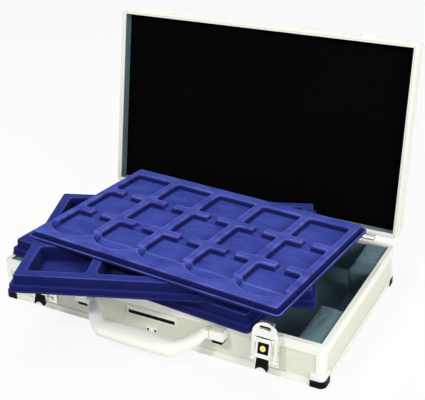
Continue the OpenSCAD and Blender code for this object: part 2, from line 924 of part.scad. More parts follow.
module lever_frame(side) {
    window_width = lever_width - 4 * frame_edge;
    color(metal) on_lever(side) difference() {
        union() {
            translate([-lever_width / 2, lever_front - frame_thickness, -lever_upper])
                cube([lever_width, frame_thickness, lever_upper + frame_top]);
            for (edge = [-1, 1]) {
                from = edge > 0 ? core_half : -lever_width / 2;
                rod(barrel_radius, from, from + cheek_thickness);
                lever_plate(from, from + cheek_thickness, [
                    [0, frame_top], [lever_front, frame_top], [lever_front, -lever_upper],
                    [lever_front + 1, lever_knee], [lever_back, lever_knee],
                    [lever_back, -barrel_radius - 4], [barrel_radius, 0]]);
            }
        }
        translate([-window_width / 2, lever_front - 2 * frame_thickness,
                   -lever_upper + frame_bar])
            cube([window_width, 2 * frame_thickness, lever_upper - frame_bar - 1]);
        lever_holes();
    }
}

module key_cylinder(side) {
    back = -barrel_radius + key_length - key_proud;
    color(brass) on_lever(side) difference() {
        translate([0, back, key_z])
            rotate([90, 0, 0]) cylinder(r = key_radius, h = key_length);
        translate([-key_slit / 2, back - key_length - cut, key_z - key_radius * 0.6])
            cube([key_slit, cut + key_slit, key_radius * 1.2]);
    }
}

module bail(side) {
    arch_z = bail_length - bail_half;
    color(metal) on_lever(side) translate([0, bail_offset, -bail_drop])
        rotate([lever_tilt - bail_lean, 0, 0]) difference() {
            union() {
                for (edge = [-1, 1]) {
                    translate([edge > 0 ? bail_inner : -bail_half, -bail_thickness / 2, 0])
                        cube([bail_half - bail_inner, bail_thickness, arch_z]);
                    rod(eye_radius, edge > 0 ? bail_inner : -eye_end,
                        edge > 0 ? eye_end : -bail_inner);
                }
                translate([-bail_half, -bail_thickness / 2, arch_z - bail_bridge])
                    cube([2 * bail_half, bail_thickness, bail_bridge]);
                intersection() {
                    translate([0, bail_thickness / 2, arch_z])
                        rotate([90, 0, 0]) cylinder(r = bail_half, h = bail_thickness, $fn = 96);
                    translate([-bail_half, -bail_thickness, arch_z])
                        cube([2 * bail_half, 2 * bail_thickness, bail_half + cut]);
                }
                translate([-hook_half, 0, bail_hook])
                    cube([2 * hook_half, hook_reach, hook_thickness]);
                translate([-hook_half, hook_reach - hook_lip, bail_hook - hook_lip_drop])
                    cube([2 * hook_half, hook_lip, hook_lip_drop + hook_thickness / 2]);
            }
            for (edge = [-1, 1])
                translate([edge * (slot_half - slot_radius), bail_thickness,
                           bail_hook - slot_below_hook])
                    rotate([90, 0, 0]) cylinder(r = slot_radius, h = 2 * bail_thickness);
            translate([slot_radius - slot_half, -bail_thickness,
                       bail_hook - slot_below_hook - slot_radius])
                cube([2 * (slot_half - slot_radius), 2 * bail_thickness, 2 * slot_radius]);
            rod(latch_pin_radius + pin_play, -bail_half - cut, bail_half + cut);
            for (edge = [-1, 1])
                translate([edge > 0 ? eye_end : -bail_half - cut, -bail_thickness,
                           -eye_radius - cut])
                    cube([bail_half - eye_end + cut, 2 * bail_thickness,
                          2 * eye_radius + cut + pin_end_clear * 2]);
        }
}

module latch_pins(side) {
    color(metal) on_lever(side) {
        rod(latch_pin_radius, -ear_start - ear_thickness - pin_end, ear_start + ear_thickness + pin_end);
        translate([0, bail_offset, -bail_drop]) {
            rod(latch_pin_radius, -bail_half, bail_half);
            rod(latch_pin_radius + pin_head, eye_end + pin_end_clear, bail_half);
            rod(latch_pin_radius + pin_head, -bail_half, -eye_end - pin_end_clear);
        }
    }
}

module latch_plate_left() latch_plate(-1);
module lever_left() lever(-1);
module lever_frame_left() lever_frame(-1);
module key_cylinder_left() key_cylinder(-1);
module bail_left() bail(-1);
module latch_pins_left() latch_pins(-1);
module latch_plate_right() latch_plate(1);
module lever_right() lever(1);
module lever_frame_right() lever_frame(1);
module key_cylinder_right() key_cylinder(1);
module bail_right() bail(1);
module latch_pins_right() latch_pins(1);

// trays, each stacked on the one below

lowest_tray_z = base_height + tray_gap;
second_tray_z = lowest_tray_z + tray_height + tray_gap;
flat_tray_z = second_tray_z + tray_height + tray_gap;

module tray_sheet_outline(inset)
    rounded_sheet(tray_length - 2 * inset, tray_depth - 2 * inset,
                  max(tray_radius - inset, tray_least_radius));

module grid(columns, rows, pitch_x, pitch_y) {
    for (column = [0:columns - 1], row = [0:rows - 1])
        translate([(column - (columns - 1) / 2) * pitch_x, (row - (rows - 1) / 2) * pitch_y, 0])
            children();
}

module box(width, depth, bottom, top)
    translate([-width / 2, -depth / 2, bottom]) cube([width, depth, top - bottom]);

module cells(grow, bottom, top) {
    grid(4, 3, cell_width + cell_wall_x, cell_depth + cell_wall_y)
        box(cell_width + 2 * grow, cell_depth + 2 * grow, bottom, top);
}

module deep_tray() {
    color(blue) difference() {
        union() {
            slab(0, foot_lip + tray_sheet / 2)
                tray_sheet_outline(0);
            slab(0, skirt_height)
                tray_sheet_outline(foot_lip);
            slab(0, tray_height)
                tray_sheet_outline(tray_step);
        }
        difference() {
            union() {
                slab(-cut, skirt_height - tray_sheet)
                    tray_sheet_outline(foot_lip + tray_sheet);
                slab(-cut, tray_height - tray_sheet)
                    tray_sheet_outline(tray_step + tray_sheet);
            }
            cells(tray_sheet, -2 * cut, tray_height);
        }
        cells(0, tray_sheet, tray_height + cut);
    }
}

module pockets(grow, bottom, top) {
    translate([0, pocket_shift, 0])
        grid(5, 3, pocket_width + pocket_wall, pocket_depth + pocket_wall)
            box(pocket_width + 2 * grow, pocket_depth + 2 * grow, bottom, top);
}

module flat_tray() {
    pitch_y = pocket_depth + pocket_wall;
    front_edge = pocket_shift - pitch_y - pocket_depth / 2;
    color(blue) difference() {
        union() {
            slab(0, tray_sheet)
                tray_sheet_outline(0);
            slab(0, edge_lip) difference() {
                tray_sheet_outline(0);
                tray_sheet_outline(tray_sheet);
            }
            slab(0, flat_tray_height)
                tray_sheet_outline(tray_step);
        }
        pockets(0, tray_sheet, flat_tray_height + cut);
        for (row = [0, 1])
            translate([0, pocket_shift + (row - 0.5) * pitch_y, 0])
                grid(5, 1, pocket_width + pocket_wall, 0)
                    box(notch_width, pocket_wall + 2 * cut, tray_sheet + 2, flat_tray_height + cut);
        grid(5, 1, pocket_width + pocket_wall, 0)
            intersection() {
                translate([0, front_edge + scallop_radius - scallop, tray_sheet])
                    cylinder(r = scallop_radius, h = flat_tray_height, $fn = 96);
                translate([0, front_edge - scallop / 2 + cut / 2, 0])
                    box(pocket_width, scallop + cut, 0, flat_tray_height + cut);
            }
    }
}

module tray_lowest()
    translate([lowest_tray_x, lowest_tray_y, lowest_tray_z]) rotate(-lowest_tray_turn) deep_tray();

module tray_second()
    translate([second_tray_x, second_tray_y, second_tray_z]) rotate(second_tray_turn) deep_tray();

module tray_flat()
    translate([flat_tray_x, flat_tray_y, flat_tray_z]) rotate(-flat_tray_turn) flat_tray();

bottom_panel();
base_wall_front();
base_wall_back();
base_wall_left();
base_wall_right();
base_corner_posts();
base_rim();
base_edging_front();
base_edging_back();
base_edging_left();
base_edging_right();
corner_caps();
corner_feet();
floor_liner();
base_lining();
side_block_left();
side_block_right();
hinge_leaf_base();
hinge_pin();
hinge_rivets_base();
label_holder();
label_insert();
centre_clip();
clip_screws();
handle_bracket_left();
handle_bracket_right();
bracket_liners();
lid_panel();
lid_wall_front();
lid_wall_back();
lid_wall_left();
lid_wall_right();
lid_corner_posts();
lid_rim();
lid_edging();
lid_corner_caps();
lid_side_lining();
lid_lining_pad();
lid_catch_left();
lid_catch_right();
hinge_leaf_lid();
hinge_rivets_lid();
handle_grip();
handle_pins();
latch_plate_left();
lever_left();
lever_frame_left();
key_cylinder_left();
bail_left();
latch_pins_left();
latch_plate_right();
lever_right();
lever_frame_right();
key_cylinder_right();
bail_right();
latch_pins_right();
tray_lowest();
tray_second();
tray_flat();
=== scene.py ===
# Attache case, open, with three loose trays fanned on top of it.
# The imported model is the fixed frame. This script gives it its finishes, and builds
# the soft linings and the flocked trays over it. Lengths in the dictionaries are in mm,
# but in metres for the stage, the lamps and the camera.
import math

import bmesh
import bpy
import numpy as np
from mathutils import Matrix, Vector, noise


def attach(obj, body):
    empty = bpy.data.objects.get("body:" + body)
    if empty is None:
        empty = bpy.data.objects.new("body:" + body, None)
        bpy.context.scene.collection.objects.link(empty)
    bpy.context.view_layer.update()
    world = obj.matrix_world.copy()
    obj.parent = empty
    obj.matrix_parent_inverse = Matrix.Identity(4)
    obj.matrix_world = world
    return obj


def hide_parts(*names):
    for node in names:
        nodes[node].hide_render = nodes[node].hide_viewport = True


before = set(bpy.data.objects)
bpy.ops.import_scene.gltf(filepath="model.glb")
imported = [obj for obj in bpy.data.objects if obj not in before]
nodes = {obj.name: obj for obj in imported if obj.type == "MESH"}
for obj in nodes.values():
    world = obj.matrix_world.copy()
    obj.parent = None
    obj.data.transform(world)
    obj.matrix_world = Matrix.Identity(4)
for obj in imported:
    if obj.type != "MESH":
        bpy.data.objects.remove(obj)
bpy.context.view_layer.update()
mm = 0.001
print("frame loaded:", len(nodes), "nodes")


def addNode(tree, kind, **settings):
    node = tree.nodes.new("ShaderNode" + kind)
    for name, value in settings.items():
        setattr(node, name, value)
    return node


def feed(tree, socket, value):
    # a link where the value is another socket, or else a set value
    if isinstance(value, bpy.types.NodeSocket):
        tree.links.new(value, socket)
    else:
        socket.default_value = value


def math2(tree, operation, a, b=None, clamp=False):
    node = addNode(tree, "Math", operation=operation, use_clamp=clamp)
    feed(tree, node.inputs[0], a)
    if b is not None:
        feed(tree, node.inputs[1], b)
    return node.outputs[0]


def spread(tree, value, low, high, newLow, newHigh):
    node = addNode(tree, "MapRange", clamp=True)
    feed(tree, node.inputs["Value"], value)
    ends = {"From Min": low, "From Max": high, "To Min": newLow, "To Max": newHigh}
    for name, number in ends.items():
        feed(tree, node.inputs[name], number)
    return node.outputs["Result"]


def mixColour(tree, factor, a, b):
    node = addNode(tree, "Mix", data_type="RGBA")
    feed(tree, node.inputs["Factor"], factor)
    for name, colour in (("A", a), ("B", b)):
        fixed = isinstance(colour, tuple)
        feed(tree, node.inputs[name], (*colour, 1) if fixed else colour)
    return node.outputs["Result"]


def startGroup(name, inputs, outputs):
    group = bpy.data.node_groups.new(name, "ShaderNodeTree")
    for label, kind, value in inputs:
        socket = group.interface.new_socket(label, in_out="INPUT", socket_type="NodeSocket" + kind)
        if value is not None:
            socket.default_value = value
    for label, kind in outputs:
        group.interface.new_socket(label, in_out="OUTPUT", socket_type="NodeSocket" + kind)
    return group, group.nodes.new("NodeGroupInput"), group.nodes.new("NodeGroupOutput")


def noiseAt(tree, vector, scale, detail, rough):
    node = addNode(tree, "TexNoise")
    feed(tree, node.inputs["Vector"], vector)
    feed(tree, node.inputs["Scale"], scale)
    node.inputs["Detail"].default_value = detail
    node.inputs["Roughness"].default_value = rough
    return node.outputs["Fac"]


def makeEdgeWear():
    # rounds the light on sharp edges, and marks where hands and shelves have rubbed them
    group, start, end = startGroup(
        "edgeWear",
        [("Vector", "Vector", None), ("Radius", "Float", 0.0006),
         ("Breakup", "Float", 220.0), ("Amount", "Float", 0.5)],
        [("Mask", "Float"), ("Normal", "Vector")],
    )
    bevel = addNode(group, "Bevel", samples=4)
    group.links.new(start.outputs["Radius"], bevel.inputs["Radius"])
    flat = addNode(group, "NewGeometry")
    dot = addNode(group, "VectorMath", operation="DOT_PRODUCT")
    group.links.new(bevel.outputs["Normal"], dot.inputs[0])
    group.links.new(flat.outputs["Normal"], dot.inputs[1])
    edge = spread(group, dot.outputs["Value"], 0.98, 0.80, 0.0, 1.0)
    patches = noiseAt(group, start.outputs["Vector"], start.outputs["Breakup"], 4.0, 0.6)
    rubbed = spread(group, patches, 0.42, 0.62, 0.0, 1.0)
    mask = math2(group, "MULTIPLY", edge, rubbed)
    mask = math2(group, "MULTIPLY", mask, start.outputs["Amount"], clamp=True)
    group.links.new(mask, end.inputs["Mask"])
    group.links.new(bevel.outputs["Normal"], end.inputs["Normal"])
    return group


def makeGrain():
    # a soft mottle in large patches, and a fine tooth
    group, start, end = startGroup(
        "grain",
        [("Vector", "Vector", None), ("Patches", "Float", 12.0), ("Tooth", "Float", 900.0)],
        [("Mottle", "Float"), ("Height", "Float")],
    )
    patches = noiseAt(group, start.outputs["Vector"], start.outputs["Patches"], 3.0, 0.55)
    tooth = noiseAt(group, start.outputs["Vector"], start.outputs["Tooth"], 2.0, 0.6)
    group.links.new(spread(group, patches, 0.3, 0.7, 0.0, 1.0), end.inputs["Mottle"])
    group.links.new(tooth, end.inputs["Height"])
    return group


def makePebbles():
    # the embossed pebbles of a vinyl covering, with fine creases between them
    group, start, end = startGroup(
        "pebbles",
        [("Vector", "Vector", None), ("Scale", "Float", 700.0)],
        [("Crease", "Float"), ("Height", "Float")],
    )
    bend = addNode(group, "TexNoise")
    group.links.new(start.outputs["Vector"], bend.inputs["Vector"])
    group.links.new(start.outputs["Scale"], bend.inputs["Scale"])
    shift = addNode(group, "VectorMath", operation="SCALE")
    group.links.new(bend.outputs["Color"], shift.inputs[0])
    shift.inputs["Scale"].default_value = 0.0006     # how far the pebbles stray, in metres
    moved = addNode(group, "VectorMath", operation="ADD")
    group.links.new(start.outputs["Vector"], moved.inputs[0])
    group.links.new(shift.outputs[0], moved.inputs[1])
    cells = addNode(group, "TexVoronoi", feature="SMOOTH_F1")
    group.links.new(moved.outputs[0], cells.inputs["Vector"])
    group.links.new(start.outputs["Scale"], cells.inputs["Scale"])
    cells.inputs["Smoothness"].default_value = 0.6
    rise = spread(group, cells.outputs["Distance"], 0.15, 0.75, 1.0, 0.0)
    group.links.new(rise, end.inputs["Height"])
    group.links.new(spread(group, rise, 0.0, 0.35, 1.0, 0.0), end.inputs["Crease"])
    return group


def makeWeave():
    # threads that cross at right angles, over and under
    group, start, end = startGroup(
        "weave",
        [("Vector", "Vector", None), ("Threads", "Float", 1400.0)],
        [("Height", "Float"), ("Gap", "Float")],
    )
    scaled = addNode(group, "VectorMath", operation="SCALE")
    group.links.new(start.outputs["Vector"], scaled.inputs[0])
    turns = math2(group, "MULTIPLY", start.outputs["Threads"], math.pi)
    group.links.new(turns, scaled.inputs["Scale"])
    parts = addNode(group, "SeparateXYZ")
    group.links.new(scaled.outputs[0], parts.inputs[0])
    waves = [math2(group, "ABSOLUTE", math2(group, "SINE", parts.outputs[i])) for i in range(3)]
    total = math2(group, "ADD", math2(group, "ADD", waves[0], waves[1]), waves[2])
    height = spread(group, total, 0.2, 2.4, 0.0, 1.0)
    group.links.new(height, end.inputs["Height"])
    group.links.new(spread(group, height, 0.0, 0.4, 1.0, 0.0), end.inputs["Gap"])
    return group


def makeFlock():
    # short fibres that stand up, and strokes where a hand has laid them over
    group, start, end = startGroup(
        "flock",
        [("Vector", "Vector", None), ("Fibres", "Float", 1800.0), ("Strokes", "Float", 28.0)],
        [("Nap", "Float"), ("Fibre", "Float"), ("Height", "Float")],
    )
    fibre = noiseAt(group, start.outputs["Vector"], start.outputs["Fibres"], 3.0, 0.7)
    stretch = addNode(group, "VectorMath", operation="MULTIPLY")
    group.links.new(start.outputs["Vector"], stretch.inputs[0])
    stretch.inputs[1].default_value = (1.0, 2.2, 1.4)     # the strokes are longest along x
    strokes = noiseAt(group, stretch.outputs[0], start.outputs["Strokes"], 4.0, 0.6)
    tuft = noiseAt(group, start.outputs["Vector"], 420.0, 2.0, 0.5)
    group.links.new(spread(group, strokes, 0.32, 0.68, 0.0, 1.0), end.inputs["Nap"])
    group.links.new(spread(group, fibre, 0.3, 0.7, 0.0, 1.0), end.inputs["Fibre"])
    height = math2(group, "ADD", fibre, math2(group, "MULTIPLY", tuft, 0.8))
    group.links.new(height, end.inputs["Height"])
    return group


def makeHairlines():
    # hairlines along one direction, as on drawn or brushed metal
    group, start, end = startGroup(
        "hairlines",
        [("Vector", "Vector", None), ("Along", "Vector", (1, 1, 1)), ("Scale", "Float", 300.0)],
        [("Mask", "Float")],
    )
    stretch = addNode(group, "VectorMath", operation="MULTIPLY")
    group.links.new(start.outputs["Vector"], stretch.inputs[0])
    group.links.new(start.outputs["Along"], stretch.inputs[1])
    lines = noiseAt(group, stretch.outputs[0], start.outputs["Scale"], 5.0, 0.7)
    group.links.new(spread(group, lines, 0.35, 0.65, 0.0, 1.0), end.inputs["Mask"])
    return group


effects = {
    "edgeWear": makeEdgeWear(),
    "grain": makeGrain(),
    "pebbles": makePebbles(),
    "weave": makeWeave(),
    "flock": makeFlock(),
    "hairlines": makeHairlines(),
}
print("shared effects made")


def place(tree, effect, **values):
    node = tree.nodes.new("ShaderNodeGroup")
    node.node_tree = effects[effect]
    for name, value in values.items():
        feed(tree, node.inputs[name], value)
    return node.outputs


def bumpFrom(tree, height, depth, strength, normal=None):
    bump = addNode(tree, "Bump")
    bump.inputs["Distance"].default_value = depth * mm
    bump.inputs["Strength"].default_value = strength
    tree.links.new(height, bump.inputs["Height"])
    if normal is not None:
        tree.links.new(normal, bump.inputs["Normal"])
    return bump.outputs["Normal"]


def startMaterial(name, **values):
    material = bpy.data.materials.new(name)
    material.use_nodes = True
    tree = material.node_tree
    shader = tree.nodes["Principled BSDF"]
    for socket, value in values.items():
        shader.inputs[socket].default_value = value
    where = addNode(tree, "TexCoord").outputs["Object"]
    return material, tree, shader, where


def connect(tree, shader, colour, roughness, normal):
    tree.links.new(colour, shader.inputs["Base Color"])
    tree.links.new(roughness, shader.inputs["Roughness"])
    tree.links.new(normal, shader.inputs["Normal"])


def makePanelVinyl():
    look = {
        "colour": (0.80, 0.81, 0.685), "wornAndHighlight": (0.76, 0.77, 0.64), "crease": (0.70, 0.705, 0.58),
        "pebbles": 820.0, "patches": 9.0, "edge": 0.4, "relief": 0.08, "roughness": (0.62, 0.46),
    }
    material, tree, shader, where = startMaterial("panelVinyl")
    pebbles = place(tree, "pebbles", Vector=where, Scale=look["pebbles"])
    grain = place(tree, "grain", Vector=where, Patches=look["patches"])
    edge = place(tree, "edgeWear", Vector=where, Radius=look["edge"] * mm)
    wornAndHighlight = spread(tree, grain["Mottle"], 0, 1, 0.0, 0.45)
    creases = spread(tree, pebbles["Crease"], 0, 1, 0.0, 0.5)
    tint = mixColour(tree, wornAndHighlight, look["colour"], look["wornAndHighlight"])
    tint = mixColour(tree, creases, tint, look["crease"])
    rough = spread(tree, pebbles["Height"], 0, 1, *look["roughness"])
    bump = bumpFrom(tree, pebbles["Height"], look["relief"], 0.6, edge["Normal"])
    connect(tree, shader, tint, rough, bump)
    return material


def makeMoulding(name, colour, shade, roughness, along=(1, 1, 1), radius=0.5):
    material, tree, shader, where = startMaterial(name)
    grain = place(tree, "grain", Vector=where, Patches=16.0, Tooth=1500.0)
    edge = place(tree, "edgeWear", Vector=where, Radius=radius * mm, Breakup=180.0, Amount=0.6)
    lines = place(tree, "hairlines", Vector=where, Along=along, Scale=500.0)
    tint = mixColour(tree, spread(tree, grain["Mottle"], 0, 1, 0.0, 0.4), colour, shade)
    tint = mixColour(tree, edge["Mask"], tint, tuple(0.92 * c for c in shade))
    rough = spread(tree, lines["Mask"], 0, 1, roughness - 0.06, roughness + 0.08)
    bump = bumpFrom(tree, grain["Height"], 0.03, 0.35, edge["Normal"])
    connect(tree, shader, tint, rough, bump)
    return material


def makeMetal(name, colour, dull, roughness, along=(1, 1, 1), radius=0.35, metallic=1.0):
    material, tree, shader, where = startMaterial(name, Metallic=metallic)
    grain = place(tree, "grain", Vector=where, Patches=60.0)
    edge = place(tree, "edgeWear", Vector=where, Radius=radius * mm, Breakup=400.0, Amount=0.8)
    lines = place(tree, "hairlines", Vector=where, Along=along, Scale=700.0)
    tint = mixColour(tree, spread(tree, grain["Mottle"], 0, 1, 0.0, 0.5), colour, dull)
    rough = math2(tree, "ADD", spread(tree, lines["Mask"], 0, 1, roughness, roughness + 0.12),
                  math2(tree, "MULTIPLY", edge["Mask"], 0.15))
    bump = bumpFrom(tree, lines["Mask"], 0.01, 0.3, edge["Normal"])
    connect(tree, shader, tint, rough, bump)
    return material


def makePlastic(name, colour, wornAndHighlight, roughness, radius=0.4):
    material, tree, shader, where = startMaterial(name)
    shader.inputs["Specular IOR Level"].default_value = 0.06
    grain = place(tree, "grain", Vector=where, Patches=40.0, Tooth=2200.0)
    edge = place(tree, "edgeWear", Vector=where, Radius=radius * mm, Breakup=300.0, Amount=0.7)
    tint = mixColour(tree, spread(tree, grain["Mottle"], 0, 1, 0.0, 0.35), colour, wornAndHighlight)
    tint = mixColour(tree, edge["Mask"], tint, wornAndHighlight)
    rough = spread(tree, grain["Height"], 0.3, 0.7, roughness - 0.05, roughness + 0.1)
    bump = bumpFrom(tree, grain["Height"], 0.03, 0.5, edge["Normal"])
    connect(tree, shader, tint, rough, bump)
    return material


def makeCloth(name, colour, thread, threads=1500.0, sheen=0.3, roughness=0.9, gloss=0.2):
    material, tree, shader, where = startMaterial(name)
    shader.inputs["Sheen Weight"].default_value = sheen
    shader.inputs["Sheen Roughness"].default_value = 0.5
    shader.inputs["Specular IOR Level"].default_value = gloss
    weave = place(tree, "weave", Vector=where, Threads=threads)
    grain = place(tree, "grain", Vector=where, Patches=14.0)
    between = tuple(0.55 * c for c in colour)
    tint = mixColour(tree, spread(tree, grain["Mottle"], 0, 1, 0.0, 0.6), colour, thread)
    tint = mixColour(tree, spread(tree, weave["Gap"], 0, 1, 0.0, 0.7), tint, between)
    rough = spread(tree, grain["Mottle"], 0, 1, roughness - 0.05, roughness + 0.05)
    connect(tree, shader, tint, rough, bumpFrom(tree, weave["Height"], 0.12, 0.6))
    return material


flockLook = {
    # the first row holds the flock's own colours; the second holds a painted highlight for the
    # crests and two colours of painted shade
    "body": (0.032, 0.053, 0.345), "laid": (0.062, 0.094, 0.47), "deep": (0.008, 0.012, 0.12),
    "paintedCrestLight": (0.18, 0.21, 0.78), "shade": (0.018, 0.025, 0.215), "deepPaintedShade": (0.003, 0.0045, 0.066),
}


def makeFlocked(name):
    look = flockLook
    material, tree, shader, where = startMaterial(name)
    shader.inputs["Sheen Weight"].default_value = 0.14
    shader.inputs["Sheen Roughness"].default_value = 0.4
    shader.inputs["Sheen Tint"].default_value = (0.5, 0.55, 1.0, 1)
    shader.inputs["Specular IOR Level"].default_value = 0.15
    flock = place(tree, "flock", Vector=where, Fibres=1800.0, Strokes=30.0)
    tint = mixColour(tree, flock["Nap"], look["body"], look["laid"])
    # painted shade: the steep walls and sides are painted darker, for the shade they stand in
    facing = addNode(tree, "SeparateXYZ")
    tree.links.new(addNode(tree, "NewGeometry").outputs["Normal"], facing.inputs[0])
    steepPaintedShade = spread(tree, math2(tree, "ABSOLUTE", facing.outputs["Z"]), 0.35, 0.88, 0.94, 0.0)
    # the painted light stored on the points of the trays: above 0 a painted highlight on the
    # crests, below 0 painted shade in the corners and pockets and over the lower trays
    paintedLight = addNode(tree, "Attribute", attribute_name="paintedLight").outputs["Fac"]
    # painted shade where the stored value is below 0
    tint = mixColour(tree, spread(tree, paintedLight, -0.05, -0.5, 0.0, 0.9), tint, look["shade"])
    tint = mixColour(tree, steepPaintedShade, tint, look["deepPaintedShade"])
    # deeper painted shade where the stored value is lowest
    tint = mixColour(tree, spread(tree, paintedLight, -0.5, -1.0, 0.0, 0.85), tint, look["deepPaintedShade"])
    # a painted highlight along the crests, stronger in some patches of the nap
    wornAndHighlight = spread(tree, flock["Nap"], 0.1, 0.9, 0.25, 1.0)
    paintedCrestLight = math2(tree, "MULTIPLY", spread(tree, paintedLight, 0.05, 0.9, 0.0, 0.75), wornAndHighlight)
    tint = mixColour(tree, paintedCrestLight, tint, look["paintedCrestLight"])
    tint = mixColour(tree, spread(tree, flock["Fibre"], 0, 1, 0.4, 0.0), tint, look["deep"])
    rough = spread(tree, flock["Nap"], 0, 1, 0.95, 0.82)
    connect(tree, shader, tint, rough, bumpFrom(tree, flock["Height"], 0.22, 0.6))
    return material


finishes = {
    "panel_vinyl": makePanelVinyl(),
    "moulding_white": makeMoulding(
        "mouldingWhite", colour=(0.93, 0.945, 0.86), shade=(0.895, 0.91, 0.82), roughness=0.36,
        along=(1, 0.08, 1)),
    "cap_white": makeMoulding(
        "capWhite", colour=(0.93, 0.945, 0.87), shade=(0.895, 0.91, 0.83), roughness=0.28,
        radius=0.8),
    "foot_black": makePlastic(
        "footBlack", colour=(0.003, 0.003, 0.004), wornAndHighlight=(0.010, 0.010, 0.012), roughness=0.45),
    "lining_slate": makeCloth(
        "liningSlate", colour=(0.102, 0.192, 0.220), thread=(0.128, 0.226, 0.254), sheen=0.2),
    "lining_black": makeCloth(
        "liningBlack", colour=(0.0012, 0.0014, 0.0012), thread=(0.0025, 0.0027, 0.0024),
        threads=1800.0, sheen=0.0, roughness=0.95, gloss=0.02),
    "hinge_steel": makeMetal(
        "hingeSteel", colour=(0.62, 0.61, 0.58), dull=(0.45, 0.44, 0.42), roughness=0.28,
        along=(0.05, 1, 1)),
    "latch_chrome": makeMetal(
        "latchChrome", colour=(0.95, 0.96, 0.90), dull=(0.80, 0.81, 0.75), roughness=0.18,
        along=(1, 1, 0.1), metallic=0.75),
    "black_plastic": makePlastic(
        "blackPlastic", colour=(0.003, 0.003, 0.004), wornAndHighlight=(0.009, 0.009, 0.011), roughness=0.38),
    "handle_ivory": makeMoulding(
        "handleIvory", colour=(0.93, 0.945, 0.85), shade=(0.895, 0.91, 0.81), roughness=0.42,
        radius=1.2),
    "key_brass": makeMetal(
        "keyBrass", colour=(0.98, 0.90, 0.34), dull=(0.88, 0.76, 0.20), roughness=0.14,
        along=(1, 1, 0.2)),
    "tray_flock": makeFlocked("trayFlock"),
}
dressed = 0
for node in nodes.values():
    for slot in node.material_slots:
        slot.material = finishes[slot.material.name]
        dressed += 1
print("finishes assigned:", dressed)


def meshObject(name, vertices, faces, material, smooth=True):
    mesh = bpy.data.meshes.new(name)
    mesh.from_pydata(vertices, [], faces)
    mesh.validate()
    mesh.update()
    if smooth:
        mesh.shade_smooth()
    piece = bpy.data.objects.new(name, mesh)
    bpy.context.scene.collection.objects.link(piece)
    mesh.materials.append(material)
    return piece


def applyModifiers(piece):
    bpy.context.view_layer.update()
    depsgraph = bpy.context.evaluated_depsgraph_get()
    mesh = bpy.data.meshes.new_from_object(piece.evaluated_get(depsgraph), depsgraph=depsgraph)
    piece.modifiers.clear()
    old = piece.data
    piece.data = mesh
    bpy.data.meshes.remove(old)


def inMetres(points, turn):
    # from mm in a piece's own frame to metres in the case's frame
    return [turn @ (Vector(point) * mm) for point in points]


def ripple(x, y, z, sizes, seed=0.0):
    # smooth noise from about -1 to 1, with its wave lengths along x, y and z in mm
    return noise.noise(Vector((x / sizes[0], y / sizes[1], z / sizes[2] + seed)))


def gridBorder(nx, ny):
    # the outer points of a grid, once round, as pairs of indices
    border = [(i, 0) for i in range(nx - 1)] + [(nx - 1, j) for j in range(ny - 1)]
    border += [(i, ny - 1) for i in range(nx - 1, 0, -1)] + [(0, j) for j in range(ny - 1, 0, -1)]
    return border


def stripFaces(ring, other):
    # the faces between two closed rings of points
    pairs = [(k, (k + 1) % len(ring)) for k in range(len(ring))]
    return [(ring[k], other[k], other[n], ring[n]) for k, n in pairs]


trayShape = {
    "length": 311, "depth": 207.5, "radius": 5.5, "leastRadius": 2.6,
    "inner": 7,          # the ring of the rim starts this far inside the outline
    "deepTop": 17.6, "flatTop": 8.4, "sheet": 1.6,
    "wave": 0.12, "waveSize": (26, 26, 1),
    "paintedShadeUnder": -0.3,    # painted shade on the underside
}
flatTray = {
    "count": (5, 3), "pocket": (48, 47), "pitch": (59, 58), "shift": (0, 2.5), "corner": 3.5,
    # a little painted shade over the whole tray, and painted light added where it is high
    "wallRun": 3.0, "underside": 0.02, "paintedLight": -0.08, "paintedLightOnTop": 0.3,
    "notch": 11, "notchReach": 3, "notchCorner": 2.0, "notchBlend": 3.5, "notchFloor": 3.6,
    "scallop": 8, "scallopInset": 2, "scallopReach": 12, "scallopShift": 1.2, "scallopRun": 6.5,
    "widest": (2.4, 2.6),               # between two lines of the grid, along x and y
    "scallopLines": (-90, 0.8, 22),     # more lines over the scallops: first, step and count
    # each row: how far inside the outline, how high, and the painted light there: a painted
    # highlight above 0 and painted shade below 0
    "rim": [
        (6.3, 8.38, 0.5), (5.7, 8.15, 1), (5.25, 7.6, 0.9), (5.0, 6.8, 0.2), (4.75, 3.4, -0.7),
        (4.45, 2.3, -1), (3.9, 1.75, -1), (2.9, 1.62, -1), (2.2, 1.72, -0.8), (1.85, 2.2, -0.2),
        (1.6, 2.75, 0.7), (1.2, 2.98, 1), (0.7, 2.98, 1), (0.2, 2.75, 0.9), (0.02, 2.3, 0.2),
        (0, 1.2, -0.6), (0.1, 0.35, -0.8), (0.5, 0.02, -0.8),
    ],
}
